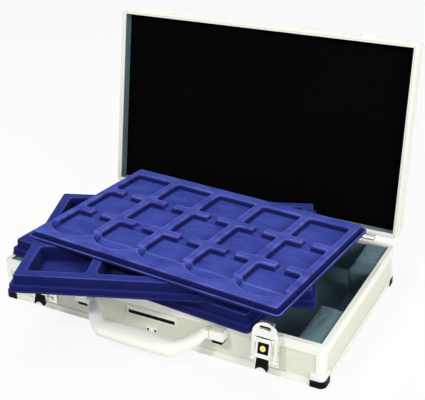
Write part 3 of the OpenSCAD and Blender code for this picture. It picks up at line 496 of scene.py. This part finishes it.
deepTray = {
    "count": (4, 3), "cell": (59, 50), "pitch": (72, 61.5), "shift": (0, 0), "corner": 4.0,
    # painted shade over the whole lower tray, more painted shade in its cells, and the strength of
    # the painted highlight and shade along its walls
    "wallRun": 3.4, "underside": 0.05, "paintedLight": -0.49, "paintedShadeInCells": -0.08, "paintedCrestLight": 0.8,
    "widest": (4.0, 4.0),
    # each row as for the flat tray, with the painted light there as its third value
    "rim": [
        (6.3, 17.58, -0.2), (5.75, 17.3, 0.3), (5.35, 16.7, 0.1), (5.15, 15.7, -0.4),
        (4.95, 9.6, -0.6), (4.7, 8.4, -1), (4.1, 7.8, -0.9), (2.9, 7.7, -0.8), (2.0, 7.6, -0.6),
        (1.4, 7.2, -0.4), (1.12, 6.5, -0.5), (1.02, 5.6, -0.7), (0.95, 2.2, -1), (0.8, 1.8, -0.9),
        (0.35, 1.68, -0.3), (0.06, 1.4, -0.2), (0, 1.0, -0.3), (0, 0.35, -0.7),
        (0.25, 0.02, -0.8), (1.2, 0.0, -0.8), (2.3, 0.1, -0.8), (2.6, 0.6, -0.8),
        (2.7, 5.6, -0.8), (3.2, 6.05, -0.8), (6.2, 6.1, -0.8), (6.7, 6.6, -0.8),
        (6.85, 15.6, -0.8),
    ],
}
# the width and place of the painted highlight on a wall's top edge, and of the painted shade at
# its foot
paintedCrestLightShape = {"top": 0.4, "topWidth": 0.95, "foot": 0.42, "footWidth": 1.6, "footShare": 0.55}


def boxDistance(x, y, width, depth, radius):
    # how far outside a rounded rectangle each point lies, below 0 within it
    qx = np.abs(x) - width / 2 + radius
    qy = np.abs(y) - depth / 2 + radius
    outside = np.hypot(np.maximum(qx, 0), np.maximum(qy, 0))
    return outside + np.minimum(np.maximum(qx, qy), 0) - radius


def fold(values, pitch, count):
    # measures each value from the middle of its nearest pocket
    last = (count - 1) / 2
    return values - pitch * np.clip(np.round(values / pitch + last) - last, -last, last)


def foldBoth(x, y, tray):
    both = zip((x, y), tray["shift"], tray["pitch"], tray["count"])
    return [fold(value - shift, pitch, count) for value, shift, pitch, count in both]


def softMin(a, b, reach):
    # the smaller of two distances, with the corner between them rounded
    h = np.clip(0.5 + 0.5 * (b - a) / reach, 0, 1)
    return b + (a - b) * h - reach * h * (1 - h)


def inside(distance, run):
    # 0 outside and 1 inside, with an even slope of this width between
    t = np.clip(0.5 - distance / run, 0, 1)
    return t * t * (3 - 2 * t)


def gridLines(edges, half, run, widest, extra=()):
    # lines close together at each wall, further apart on the flats
    lines = {-half, half, *(s * (half - k) for s in (-1, 1) for k in (1, 2, 3.2))}
    for edge in edges:
        for k in (-1.3, -0.75, -0.5, -0.34, -0.18, 0, 0.18, 0.34, 0.5, 0.75, 1.3):
            lines.add(edge + k * run)
    lines.update(extra)
    kept, leastGap = [], 0.3
    for value in sorted(v for v in lines if -half <= v <= half):
        if kept and value - kept[-1] < leastGap:
            if value == half:
                kept[-1] = value
            continue
        kept.append(value)
    full = [kept[0]]
    for value in kept[1:]:
        pieces = max(1, math.ceil((value - full[-1]) / widest))
        start = full[-1]
        full += [start + (value - start) * (i + 1) / pieces for i in range(pieces)]
    return np.array(full)


def pocketEdges(tray, axis, *widths):
    # both edges of every pocket, or of what lies in its middle, along x (0) or y (1)
    count, pitch = tray["count"][axis], tray["pitch"][axis]
    middles = [tray["shift"][axis] + (k - (count - 1) / 2) * pitch for k in range(count)]
    return [middle + s * width / 2 for middle in middles for width in widths for s in (-1, 1)]


def paintedCrestLightAt(distance, run):
    # a painted highlight, 1 along the top edge of a wall, and painted shade, below 0, in the
    # corner under it
    c = paintedCrestLightShape
    top = np.exp(-((distance - c["top"] * run) / c["topWidth"]) ** 2)
    foot = np.exp(-((distance + c["foot"] * run) / c["footWidth"]) ** 2)
    return top - c["footShare"] * foot


def flatHeights(x, y):
    # the pockets, the notches that join the rows, and a scallop in front of each front pocket
    t = flatTray
    top, sheet = trayShape["flatTop"], trayShape["sheet"]
    (width, depth), pitch, rows = t["pocket"], t["pitch"][1], t["count"][1]
    px, py = foldBoth(x, y, t)
    pocket = boxDistance(px, py, width, depth, t["corner"])
    rowGap = fold(y - t["shift"][1], pitch, rows - 1)
    notchLength = pitch - depth + 2 * t["notchReach"]
    notch = boxDistance(px, rowGap, t["notch"], notchLength, t["notchCorner"])
    joined = softMin(pocket, notch, t["notchBlend"])
    floor = sheet + (t["notchFloor"] - sheet) * (1 - inside(pocket, t["wallRun"]))
    height = top - (top - floor) * inside(joined, t["wallRun"])
    frontEdge = t["shift"][1] - pitch * (rows - 1) / 2 - depth / 2
    chord = width / 2 - t["scallopInset"]
    radius = (chord ** 2 + t["scallop"] ** 2) / (2 * t["scallop"])
    circle = np.hypot(px, y - (frontEdge + radius - t["scallop"])) - radius
    bulge = np.maximum(circle, y - (frontEdge + t["scallopReach"])) + t["scallopShift"]
    slope = top - (top - sheet) * inside(bulge, t["scallopRun"])
    # painted highlights on the top edges of the scallops and walls, and painted shade at their
    # feet
    ramp, wall = paintedCrestLightAt(bulge, t["scallopRun"]), paintedCrestLightAt(joined, t["wallRun"])
    level = np.minimum(height, slope)
    paintedLight = np.where(slope < height, ramp, np.maximum(ramp, wall))
    # painted light on the raised tops, so that they read lighter than the pocket floors
    onTop = np.clip((level - 5) / 3, 0, 1)      # 0 up to 5 mm high, and 1 from 8 mm
    return level, paintedLight + onTop * t["paintedLightOnTop"] + t["paintedLight"]


def flatUnder(x, y):
    return 0 * x + flatTray["underside"], 0 * x


def deepHeights(x, y, grow=0.0, top=trayShape["deepTop"], floor=trayShape["sheet"]):
    t = deepTray
    px, py = foldBoth(x, y, t)
    cell = boxDistance(px, py, *(side + 2 * grow for side in t["cell"]), t["corner"] + grow)
    depth = inside(cell, t["wallRun"])
    # painted highlights on the cells' top edges, painted shade at their feet and in the cells, and
    # over the whole tray
    paintedLight = t["paintedCrestLight"] * paintedCrestLightAt(cell, t["wallRun"]) + t["paintedLight"] + t["paintedShadeInCells"] * depth
    return top - (top - floor) * depth, paintedLight


def deepUnder(x, y):
    sheet = trayShape["sheet"]
    return deepHeights(x, y, sheet, trayShape["deepTop"] - sheet, deepTray["underside"])


def outlinePoint(x, y, halfX, halfY, inset):
    # moves a point on the edge of the grid to the tray's rounded outline at this inset
    t = trayShape
    least, hair = t["leastRadius"], 1e-6
    hx, hy = t["length"] / 2 - inset, t["depth"] / 2 - inset
    radius = max(t["radius"] - inset, least)
    sx, sy = math.copysign(1, x), math.copysign(1, y)
    ax, ay = abs(x), abs(y)
    if ax > halfX - least and ay > halfY - least:
        if ax >= halfX - hair:
            angle = math.radians(45) * (ay - halfY + least) / least
        else:
            angle = math.radians(90) - math.radians(45) * (ax - halfX + least) / least
        cx, cy = hx - radius, hy - radius
        return sx * (cx + radius * math.cos(angle)), sy * (cy + radius * math.sin(angle))
    if ax >= halfX - hair:
        return sx * hx, y
    return x, sy * hy


def buildTray(name, xs, ys, above, below, rim, spot):
    # a grid for the top, another for the underside, and the rings of the rim between them
    halfX, halfY = xs[-1], ys[-1]
    gx, gy = np.meshgrid(xs, ys, indexing="ij")
    vertices, faces, paintedLights = [], [], []
    for level in (above, below):
        heights, paintedCrestLight = level(gx, gy)
        seed = 3.0 if level is above else 9.0
        for i in range(len(xs)):
            for j in range(len(ys)):
                x, y = xs[i], ys[j]
                if i in (0, len(xs) - 1) or j in (0, len(ys) - 1):
                    x, y = outlinePoint(x, y, halfX, halfY, trayShape["inner"])
                wave = trayShape["wave"] * ripple(x, y, 0, trayShape["waveSize"], seed)
                vertices.append((x, y, heights[i, j] + wave))
                # the painted light of each point: from the heights on the top, painted shade on
                # the underside
                paintedLights.append(paintedCrestLight[i, j] if level is above else trayShape["paintedShadeUnder"])
    count = len(xs) * len(ys)
    at = lambda i, j: i * len(ys) + j
    for i in range(len(xs) - 1):
        for j in range(len(ys) - 1):
            faces.append((at(i, j), at(i + 1, j), at(i + 1, j + 1), at(i, j + 1)))
            quad = (at(i, j), at(i, j + 1), at(i + 1, j + 1), at(i + 1, j))
            faces.append(tuple(count + v for v in quad))
    border = gridBorder(len(xs), len(ys))
    ring = [at(i, j) for i, j in border]
    under = [count + v for v in ring]
    for inset, z, paintedLight in rim:
        fresh = list(range(len(vertices), len(vertices) + len(border)))
        vertices += [(*outlinePoint(xs[i], ys[j], halfX, halfY, inset), z) for i, j in border]
        paintedLights += [paintedLight] * len(border)
        faces += stripFaces(ring, fresh)
        ring = fresh
    faces += stripFaces(ring, under)
    piece = meshObject(name, inMetres(vertices, spot), faces, finishes["tray_flock"])
    # the painted light goes onto the points, where the flock's finish reads it
    piece.data.attributes.new("paintedLight", "FLOAT", "POINT").data.foreach_set("value", paintedLights)
    return piece


halfX = trayShape["length"] / 2 - trayShape["inner"]
halfY = trayShape["depth"] / 2 - trayShape["inner"]
firstLine, lineStep, lineCount = flatTray["scallopLines"]
flatGrid = (
    gridLines(pocketEdges(flatTray, 0, flatTray["pocket"][0], flatTray["notch"]),
              halfX, flatTray["wallRun"], flatTray["widest"][0]),
    gridLines(pocketEdges(flatTray, 1, flatTray["pocket"][1]),
              halfY, flatTray["wallRun"], flatTray["widest"][1],
              [firstLine + lineStep * k for k in range(lineCount)]),
)
deepGrid = [gridLines(pocketEdges(deepTray, axis, deepTray["cell"][axis]),
                      half, deepTray["wallRun"], deepTray["widest"][axis])
            for axis, half in enumerate((halfX, halfY))]

trayPlaces = {
    # node: the tray's name and body, the middle of its underside in mm, its turn in degrees
    "tray_lowest": ("flockedTrayLowest", "lowest_tray", (-29, -9.5, 46.55), -5),
    "tray_second": ("flockedTraySecond", "second_tray", (-13.4, -38.6, 64.2), 20.8),
    "tray_flat": ("flockedTrayFlat", "flat_tray", (7.6, -22.3, 81.85), -5),
}
for name, (title, body, middle, turn) in trayPlaces.items():
    spot = Matrix.Translation(Vector(middle) * mm) @ Matrix.Rotation(math.radians(turn), 4, "Z")
    if name == "tray_flat":
        tray = buildTray(title, *flatGrid, flatHeights, flatUnder, flatTray["rim"], spot)
    else:
        tray = buildTray(title, *deepGrid, deepHeights, deepUnder, deepTray["rim"], spot)
    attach(tray, body)
    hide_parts(name)
    print("tray", name, len(tray.data.vertices), "points")


caseShape = {
    "halfLength": 191, "halfDepth": 114, "radius": 5.5, "leastRadius": 1.2,
    "hinge": (118.8, 46.2), "opening": 97.8,
}
bandGrid = {"step": 5.0, "cornerSteps": 6, "rows": 9, "giveSize": (30, 30, 20)}
lidTurn = (Matrix.Translation(Vector((0, *caseShape["hinge"])) * mm)
           @ Matrix.Rotation(math.radians(-caseShape["opening"]), 4, "X")
           @ Matrix.Translation(Vector((0, *caseShape["hinge"])) * -mm))


def roundedLoop(inset):
    # points once round the inside of the walls, each with its direction outward
    hx, hy = caseShape["halfLength"] - inset, caseShape["halfDepth"] - inset
    r = max(caseShape["radius"] - inset, caseShape["leastRadius"])
    points = []
    for sx, sy, start in ((1, 1, 0), (-1, 1, 90), (-1, -1, 180), (1, -1, 270)):
        for k in range(bandGrid["cornerSteps"] + 1):
            a = math.radians(start + 90 * k / bandGrid["cornerSteps"])
            nx, ny = math.cos(a), math.sin(a)
            points.append((sx * (hx - r) + r * nx, sy * (hy - r) + r * ny, nx, ny))
    full = []
    for k, point in enumerate(points):
        after = points[(k + 1) % len(points)]
        gap = math.hypot(after[0] - point[0], after[1] - point[1])
        pieces = max(1, round(gap / bandGrid["step"]))
        for i in range(pieces):
            t = i / pieces
            full.append(tuple(point[c] + (after[c] - point[c]) * t for c in range(4)))
    return full


def wallCloth(name, band, material, turn=Matrix.Identity(4)):
    # one band of cloth glued round the inside of the walls, a little slack between its glue lines
    loop = roundedLoop(band["inset"])
    rows, n = bandGrid["rows"], len(loop)
    vertices, faces = [], []
    for k in range(rows + 1):
        t = k / rows
        z = band["low"] + (band["high"] - band["low"]) * t
        for x, y, nx, ny in loop:
            give = band["slack"] * math.sin(math.pi * t)
            give *= 0.6 + 0.4 * ripple(x, y, z, bandGrid["giveSize"])
            vertices.append((x - nx * give, y - ny * give, z))
    for k in range(rows):
        for i in range(n):
            j = (i + 1) % n
            faces.append((k * n + i, (k + 1) * n + i, (k + 1) * n + j, k * n + j))
    piece = meshObject(name, inMetres(vertices, turn), faces, material)
    length = sum(math.dist(loop[i][:2], loop[(i + 1) % n][:2]) for i in range(n)) * mm
    return piece, length


wallLining = {"inset": 5.35, "low": 5.6, "high": 42.4, "slack": 0.25}
baseCloth, length = wallCloth("baseLiningCloth", wallLining, finishes["lining_slate"])
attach(baseCloth, "case")
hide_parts("base_lining")


padGrid = {
    "points": (76, 46), "gather": 0.8, "soft": 0.25, "softSize": (40, 40, 1),
    "edge": 0.45, "roll": 0.55,     # shares of the height: at the edge, and gained over the roll
}


def gathered(half, count):
    # points from -half to half, closer together towards the ends
    t = np.linspace(-1, 1, count)
    return np.sign(t) * np.abs(t) ** padGrid["gather"] * half


def crownedPad(name, pad, material, turn=Matrix.Identity(4), upper=True):
    # a slab with rolled edges, fuller in the middle, and flat on the side that it is glued by
    halfX = caseShape["halfLength"] - pad["inset"]
    halfY = caseShape["halfDepth"] - pad["inset"]
    nx, ny = padGrid["points"]
    xs, ys = gathered(halfX, nx), gathered(halfY, ny)
    glued, way = (pad["low"], 1) if upper else (pad["high"], -1)
    vertices, faces = [], []
    for level in range(2):
        for x in xs:
            for y in ys:
                edge = min(halfX - abs(x), halfY - abs(y))
                roll = 1 - math.exp(-edge / pad["rise"])
                full = 0.5 + 0.5 * math.cos(math.pi * min(1.0, math.hypot(x / halfX, y / halfY)))
                soft = padGrid["soft"] * ripple(x, y, 0, padGrid["softSize"], 5.0)
                top = (pad["high"] - pad["low"]) * (padGrid["edge"] + padGrid["roll"] * roll)
                top += (pad["crown"] * (full - 1) + soft) * roll
                vertices.append((x, y, glued + way * top if level == 0 else glued))
    count = nx * ny
    at = lambda i, j: i * ny + j
    for i in range(nx - 1):
        for j in range(ny - 1):
            quad = (at(i, j), at(i + 1, j), at(i + 1, j + 1), at(i, j + 1))
            faces += [quad, tuple(count + v for v in quad[::-1])]
    ring = [at(i, j) for i, j in gridBorder(nx, ny)]
    faces += stripFaces(ring, [count + v for v in ring])
    if not upper:
        faces = [face[::-1] for face in faces]
    return meshObject(name, inMetres(vertices, turn), faces, material)


floorPadShape = {"inset": 4.6, "low": 4.02, "high": 5.5, "crown": 0.15, "rise": 1.5}
lidPadShape = {"inset": 4.4, "low": 57.75, "high": 64.65, "crown": 0.9, "rise": 3.0}
print("floor and lid pads")
floorPad = crownedPad("floorPadCloth", floorPadShape, finishes["lining_slate"])
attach(floorPad, "case")
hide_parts("floor_liner")

lidPad = crownedPad("lidPadCloth", lidPadShape, finishes["lining_black"], lidTurn, upper=False)
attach(lidPad, "lid")
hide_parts("lid_lining_pad")

# the lid's band is tucked in beside the pad
lidBand = {"inset": 5.05, "low": 48.15, "high": 60.6, "slack": 0.1}
lidCloth, length = wallCloth("lidSideCloth", lidBand, finishes["lining_slate"], lidTurn)
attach(lidCloth, "lid")
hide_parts("lid_side_lining")


sideFoam = {
    "x": (159.4, 185.3), "front": (-108.2, -40.9), "back": (43.3, 108.2),
    "low": 5.6, "top": 44.2, "recess": 13.6,
    "overlap": 6,        # the low part under the recess reaches this far into each end
    "glue": 1,           # the cover is glued this far up from the floor and in from the wall
    "voxel": 2.0, "smoothing": 2,
}
foamCover = {
    "scale": 10.0,       # the cover is relaxed ten times larger, where the cloth behaves well
    "frames": 16, "quality": 5, "pressure": 1.5, "slack": 0.06,
    "mass": 0.15, "tension": 12, "shear": 6, "bending": 0.15,
    "cap": 0.75,         # no point moves further than this
    "crease": 0.85, "creaseWidth": 0.06, "acrossShare": 0.7, "deepest": 1.1,
    "alongSize": (24, 60, 40), "acrossSize": (70, 26, 30),
    "rolling": 0.35, "rollingSize": (14, 16, 14),
}


def relaxCover(piece):
    # a loose cloth cover over the foam: it swells a little and buckles between its glued edges
    c, s = foamCover, sideFoam
    mesh = piece.data
    start = [v.co.copy() for v in mesh.vertices]
    for v in mesh.vertices:
        v.co *= c["scale"]
    glued = piece.vertex_groups.new(name="glued")
    glueTop, glueSide = (s["low"] + s["glue"]) * mm, s["x"][1] * mm - s["glue"] * mm
    held = [i for i, co in enumerate(start) if co.z < glueTop or abs(co.x) > glueSide]
    glued.add(held, 1.0, "REPLACE")
    cloth = piece.modifiers.new("cover", "CLOTH")
    settings = cloth.settings
    settings.quality = c["quality"]
    settings.mass = c["mass"]
    settings.tension_stiffness = settings.compression_stiffness = c["tension"]
    settings.shear_stiffness = c["shear"]
    settings.bending_stiffness = c["bending"]
    settings.use_pressure = True
    settings.uniform_pressure_force = c["pressure"]
    settings.shrink_min = -c["slack"]
    settings.vertex_group_mass = "glued"
    settings.effector_weights.gravity = 0
    cloth.collision_settings.use_collision = False
    cloth.point_cache.frame_start, cloth.point_cache.frame_end = 1, c["frames"]
    scene = bpy.context.scene
    for frameNumber in range(1, c["frames"] + 1):
        scene.frame_set(frameNumber)
    depsgraph = bpy.context.evaluated_depsgraph_get()
    settled = piece.evaluated_get(depsgraph).to_mesh()
    moved = [v.co / c["scale"] for v in settled.vertices]
    piece.modifiers.remove(cloth)
    piece.vertex_groups.clear()
    scene.frame_set(1)
    farthest = 0
    for v, old, new in zip(mesh.vertices, start, moved):
        step = new - old
        if step.length > c["cap"] * mm:
            step *= c["cap"] * mm / step.length
        farthest = max(farthest, step.length)
        v.co = old + step
    print("cover relaxed, farthest point moved", round(farthest / mm, 2), "mm")


def creaseCover(piece):
    # narrow creases where the cloth is pinched, and a slow roll over the whole cover
    c, s = foamCover, sideFoam
    mesh = piece.data
    normals = [v.normal.copy() for v in mesh.vertices]
    for v, normal in zip(mesh.vertices, normals):
        x, y, z = v.co / mm
        if z < s["low"] + s["glue"]:
            continue
        along = ripple(x, y, z, c["alongSize"], 4)
        across = ripple(x, y, z, c["acrossSize"], 9)
        depth = math.exp(-(along / c["creaseWidth"]) ** 2)
        depth += c["acrossShare"] * math.exp(-(across / c["creaseWidth"]) ** 2)
        rolling = c["rolling"] * ripple(x, y, z, c["rollingSize"])
        v.co -= normal * (c["crease"] * min(depth, c["deepest"]) - rolling) * mm


def buildSideFoam(name, side):
    s = sideFoam
    shape = bmesh.new()
    recess = (s["front"][1] - s["overlap"], s["back"][0] + s["overlap"])
    parts = [(s["front"], s["top"]), (s["back"], s["top"]), (recess, s["recess"])]
    x0, x1 = s["x"]
    for (y0, y1), top in parts:
        size = Vector((x1 - x0, y1 - y0, top - s["low"])) * mm
        middle = Vector((side * (x0 + x1) / 2, (y0 + y1) / 2, (s["low"] + top) / 2)) * mm
        matrix = Matrix.Translation(middle) @ Matrix.Diagonal((*size, 1))
        bmesh.ops.create_cube(shape, size=1.0, matrix=matrix)
    mesh = bpy.data.meshes.new(name)
    shape.to_mesh(mesh)
    shape.free()
    piece = bpy.data.objects.new(name, mesh)
    bpy.context.scene.collection.objects.link(piece)
    remesh = piece.modifiers.new("remesh", "REMESH")
    remesh.mode = "VOXEL"
    remesh.voxel_size = s["voxel"] * mm
    soften = piece.modifiers.new("soften", "SMOOTH")
    soften.factor = 0.5
    soften.iterations = s["smoothing"]
    applyModifiers(piece)
    relaxCover(piece)
    piece.modifiers.new("finer", "SUBSURF").levels = 1
    applyModifiers(piece)
    creaseCover(piece)
    piece.data.shade_smooth()
    piece.data.materials.clear()
    piece.data.materials.append(finishes["lining_slate"])
    return piece


for name, side in (("side_block_left", -1), ("side_block_right", 1)):
    block = buildSideFoam("foam" + ("Left" if side < 0 else "Right"), side)
    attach(block, "case")
    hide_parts(name)
print("foam blocks")


stageLook = {
    "floor": (0.88, 0.88, 0.88), "floorHalf": 6.0,
    "floorDrop": 0.0003,     # metres below the feet
    "lift": 0.88,            # how much of the floor is plain white to the camera
    "worldLevel": 0.42, "lampTarget": (0, -0.02, 0.06),
}
lamps = [
    # place, power in watts, size in metres
    ("keyLamp", (-0.6, 0.3, 1.45), 7.0, 0.5),
    ("rightLamp", (1.4, -0.62, 0.75), 11.8, 0.8),
    ("frontLamp", (-0.35, -1.22, 1.28), 9.4, 0.22),
]


def seenDirectly(tree):
    # 1 for the camera's own rays and those it sees by reflection or through glass, or else 0
    rays = addNode(tree, "LightPath")
    seen = math2(tree, "ADD", rays.outputs["Is Camera Ray"], rays.outputs["Is Glossy Ray"])
    return math2(tree, "ADD", seen, rays.outputs["Is Transmission Ray"], clamp=True)


def mixShaders(tree, factor, first, second, output):
    mix = addNode(tree, "MixShader")
    tree.links.new(factor, mix.inputs["Fac"])
    tree.links.new(first.outputs[0], mix.inputs[1])
    tree.links.new(second.outputs[0], mix.inputs[2])
    tree.links.new(mix.outputs[0], tree.nodes[output].inputs["Surface"])


def buildFloor():
    half, z = stageLook["floorHalf"], -stageLook["floorDrop"]
    corners = [(-half, -half, z), (half, -half, z), (half, half, z), (-half, half, z)]
    material = bpy.data.materials.new("paleFloor")
    material.use_nodes = True
    tree = material.node_tree
    shader = tree.nodes["Principled BSDF"]
    shader.inputs["Base Color"].default_value = (*stageLook["floor"], 1)
    shader.inputs["Roughness"].default_value = 0.9
    shader.inputs["Specular IOR Level"].default_value = 0.1
    white = math2(tree, "MULTIPLY", seenDirectly(tree), stageLook["lift"])
    mixShaders(tree, white, shader, addNode(tree, "Emission"), "Material Output")
    floor = meshObject("floor", corners, [(0, 1, 2, 3)], material, smooth=False)


def buildWorld():
    world = bpy.data.worlds.new("studio")
    bpy.context.scene.world = world
    world.use_nodes = True
    tree = world.node_tree
    soft = tree.nodes["Background"]
    soft.inputs["Color"].default_value = (1, 1, 1, 1)
    soft.inputs["Strength"].default_value = stageLook["worldLevel"]
    white = addNode(tree, "Background")
    white.inputs["Color"].default_value = (1, 1, 1, 1)
    mixShaders(tree, seenDirectly(tree), soft, white, "World Output")


def buildLamps():
    target = Vector(stageLook["lampTarget"])
    for name, spot, power, size in lamps:
        data = bpy.data.lights.new(name, "AREA")
        data.shape = "DISK"
        data.size = size
        data.energy = power
        lamp = bpy.data.objects.new(name, data)
        lamp.location = spot
        lamp.rotation_euler = (target - lamp.location).to_track_quat("-Z", "Y").to_euler()
        bpy.context.scene.collection.objects.link(lamp)


photoCamera = {
    "place": (0.42123, -0.78880, 0.53391),
    "right": (0.89046, 0.45504, -0.00535), "up": (-0.16398, 0.33182, 0.92898),
    "back": (0.4245, -0.82634, 0.37009),
    "lens": 75.38, "sensor": 36, "shift": (-0.0035, -0.1294), "clipStart": 0.05,
}


def buildCamera():
    data = bpy.data.cameras.new("photoCamera")
    data.sensor_width = photoCamera["sensor"]
    data.sensor_fit = "HORIZONTAL"
    data.lens = photoCamera["lens"]
    data.shift_x, data.shift_y = photoCamera["shift"]
    data.clip_start = photoCamera["clipStart"]
    camera = bpy.data.objects.new("photoCamera", data)
    axes = Matrix([photoCamera[axis] for axis in ("right", "up", "back")]).transposed()
    camera.matrix_world = Matrix.Translation(photoCamera["place"]) @ axes.to_4x4()
    bpy.context.scene.collection.objects.link(camera)
    bpy.context.scene.camera = camera


buildFloor()
buildWorld()
buildLamps()
buildCamera()
bpy.context.scene.view_settings.view_transform = "Standard"
print("stage, lamps and camera")
